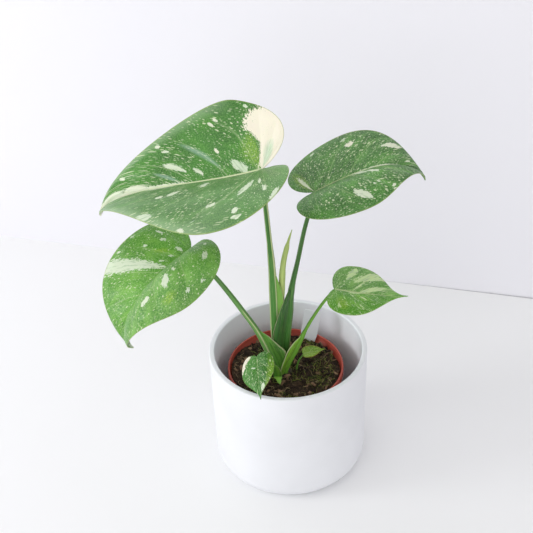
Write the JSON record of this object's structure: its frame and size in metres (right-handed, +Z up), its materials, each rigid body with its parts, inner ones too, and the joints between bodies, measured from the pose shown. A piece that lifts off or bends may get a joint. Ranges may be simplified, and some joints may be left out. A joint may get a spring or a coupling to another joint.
{
  "type": "potted variegated monstera",
  "caption": "Young variegated monstera with heart-shaped speckled leaves, in a plastic nursery pot that stands inside a white ceramic cover pot.",
  "frame": {"origin": "centre of the cover pot's flat underside, on the surface it stands on", "axes": "+Z up along the pot's axis; +Y away from the viewer of the plant's front; +X to that viewer's right, towards the lower small leaf"},
  "size_m": [0.3108, 0.1849, 0.4016],
  "materials": {
    "white_ceramic": "satin",
    "terracotta_plastic": "satin",
    "potting_mix": "matte",
    "crown_tissue": "matte",
    "label_plastic": "satin",
    "petiole_green": "satin",
    "spear_green": "satin",
    "leaf_blade": "satin"
  },
  "bodies": {
    "root": {"cover_pot": "white_ceramic", "nursery_pot": "terracotta_plastic", "soil": "potting_mix", "crown": "crown_tissue", "plant_label": "label_plastic", "petiole_1": "petiole_green", "petiole_2": "petiole_green", "petiole_3": "petiole_green", "petiole_4": "petiole_green", "petiole_5": "petiole_green", "petiole_6": "petiole_green", "spear": "spear_green", "bract": "petiole_green", "leaf_1": "leaf_blade", "leaf_2": "leaf_blade", "leaf_3": "leaf_blade", "leaf_4": "leaf_blade", "leaf_5": "leaf_blade", "leaf_6": "leaf_blade"}
  },
  "joints": []
}
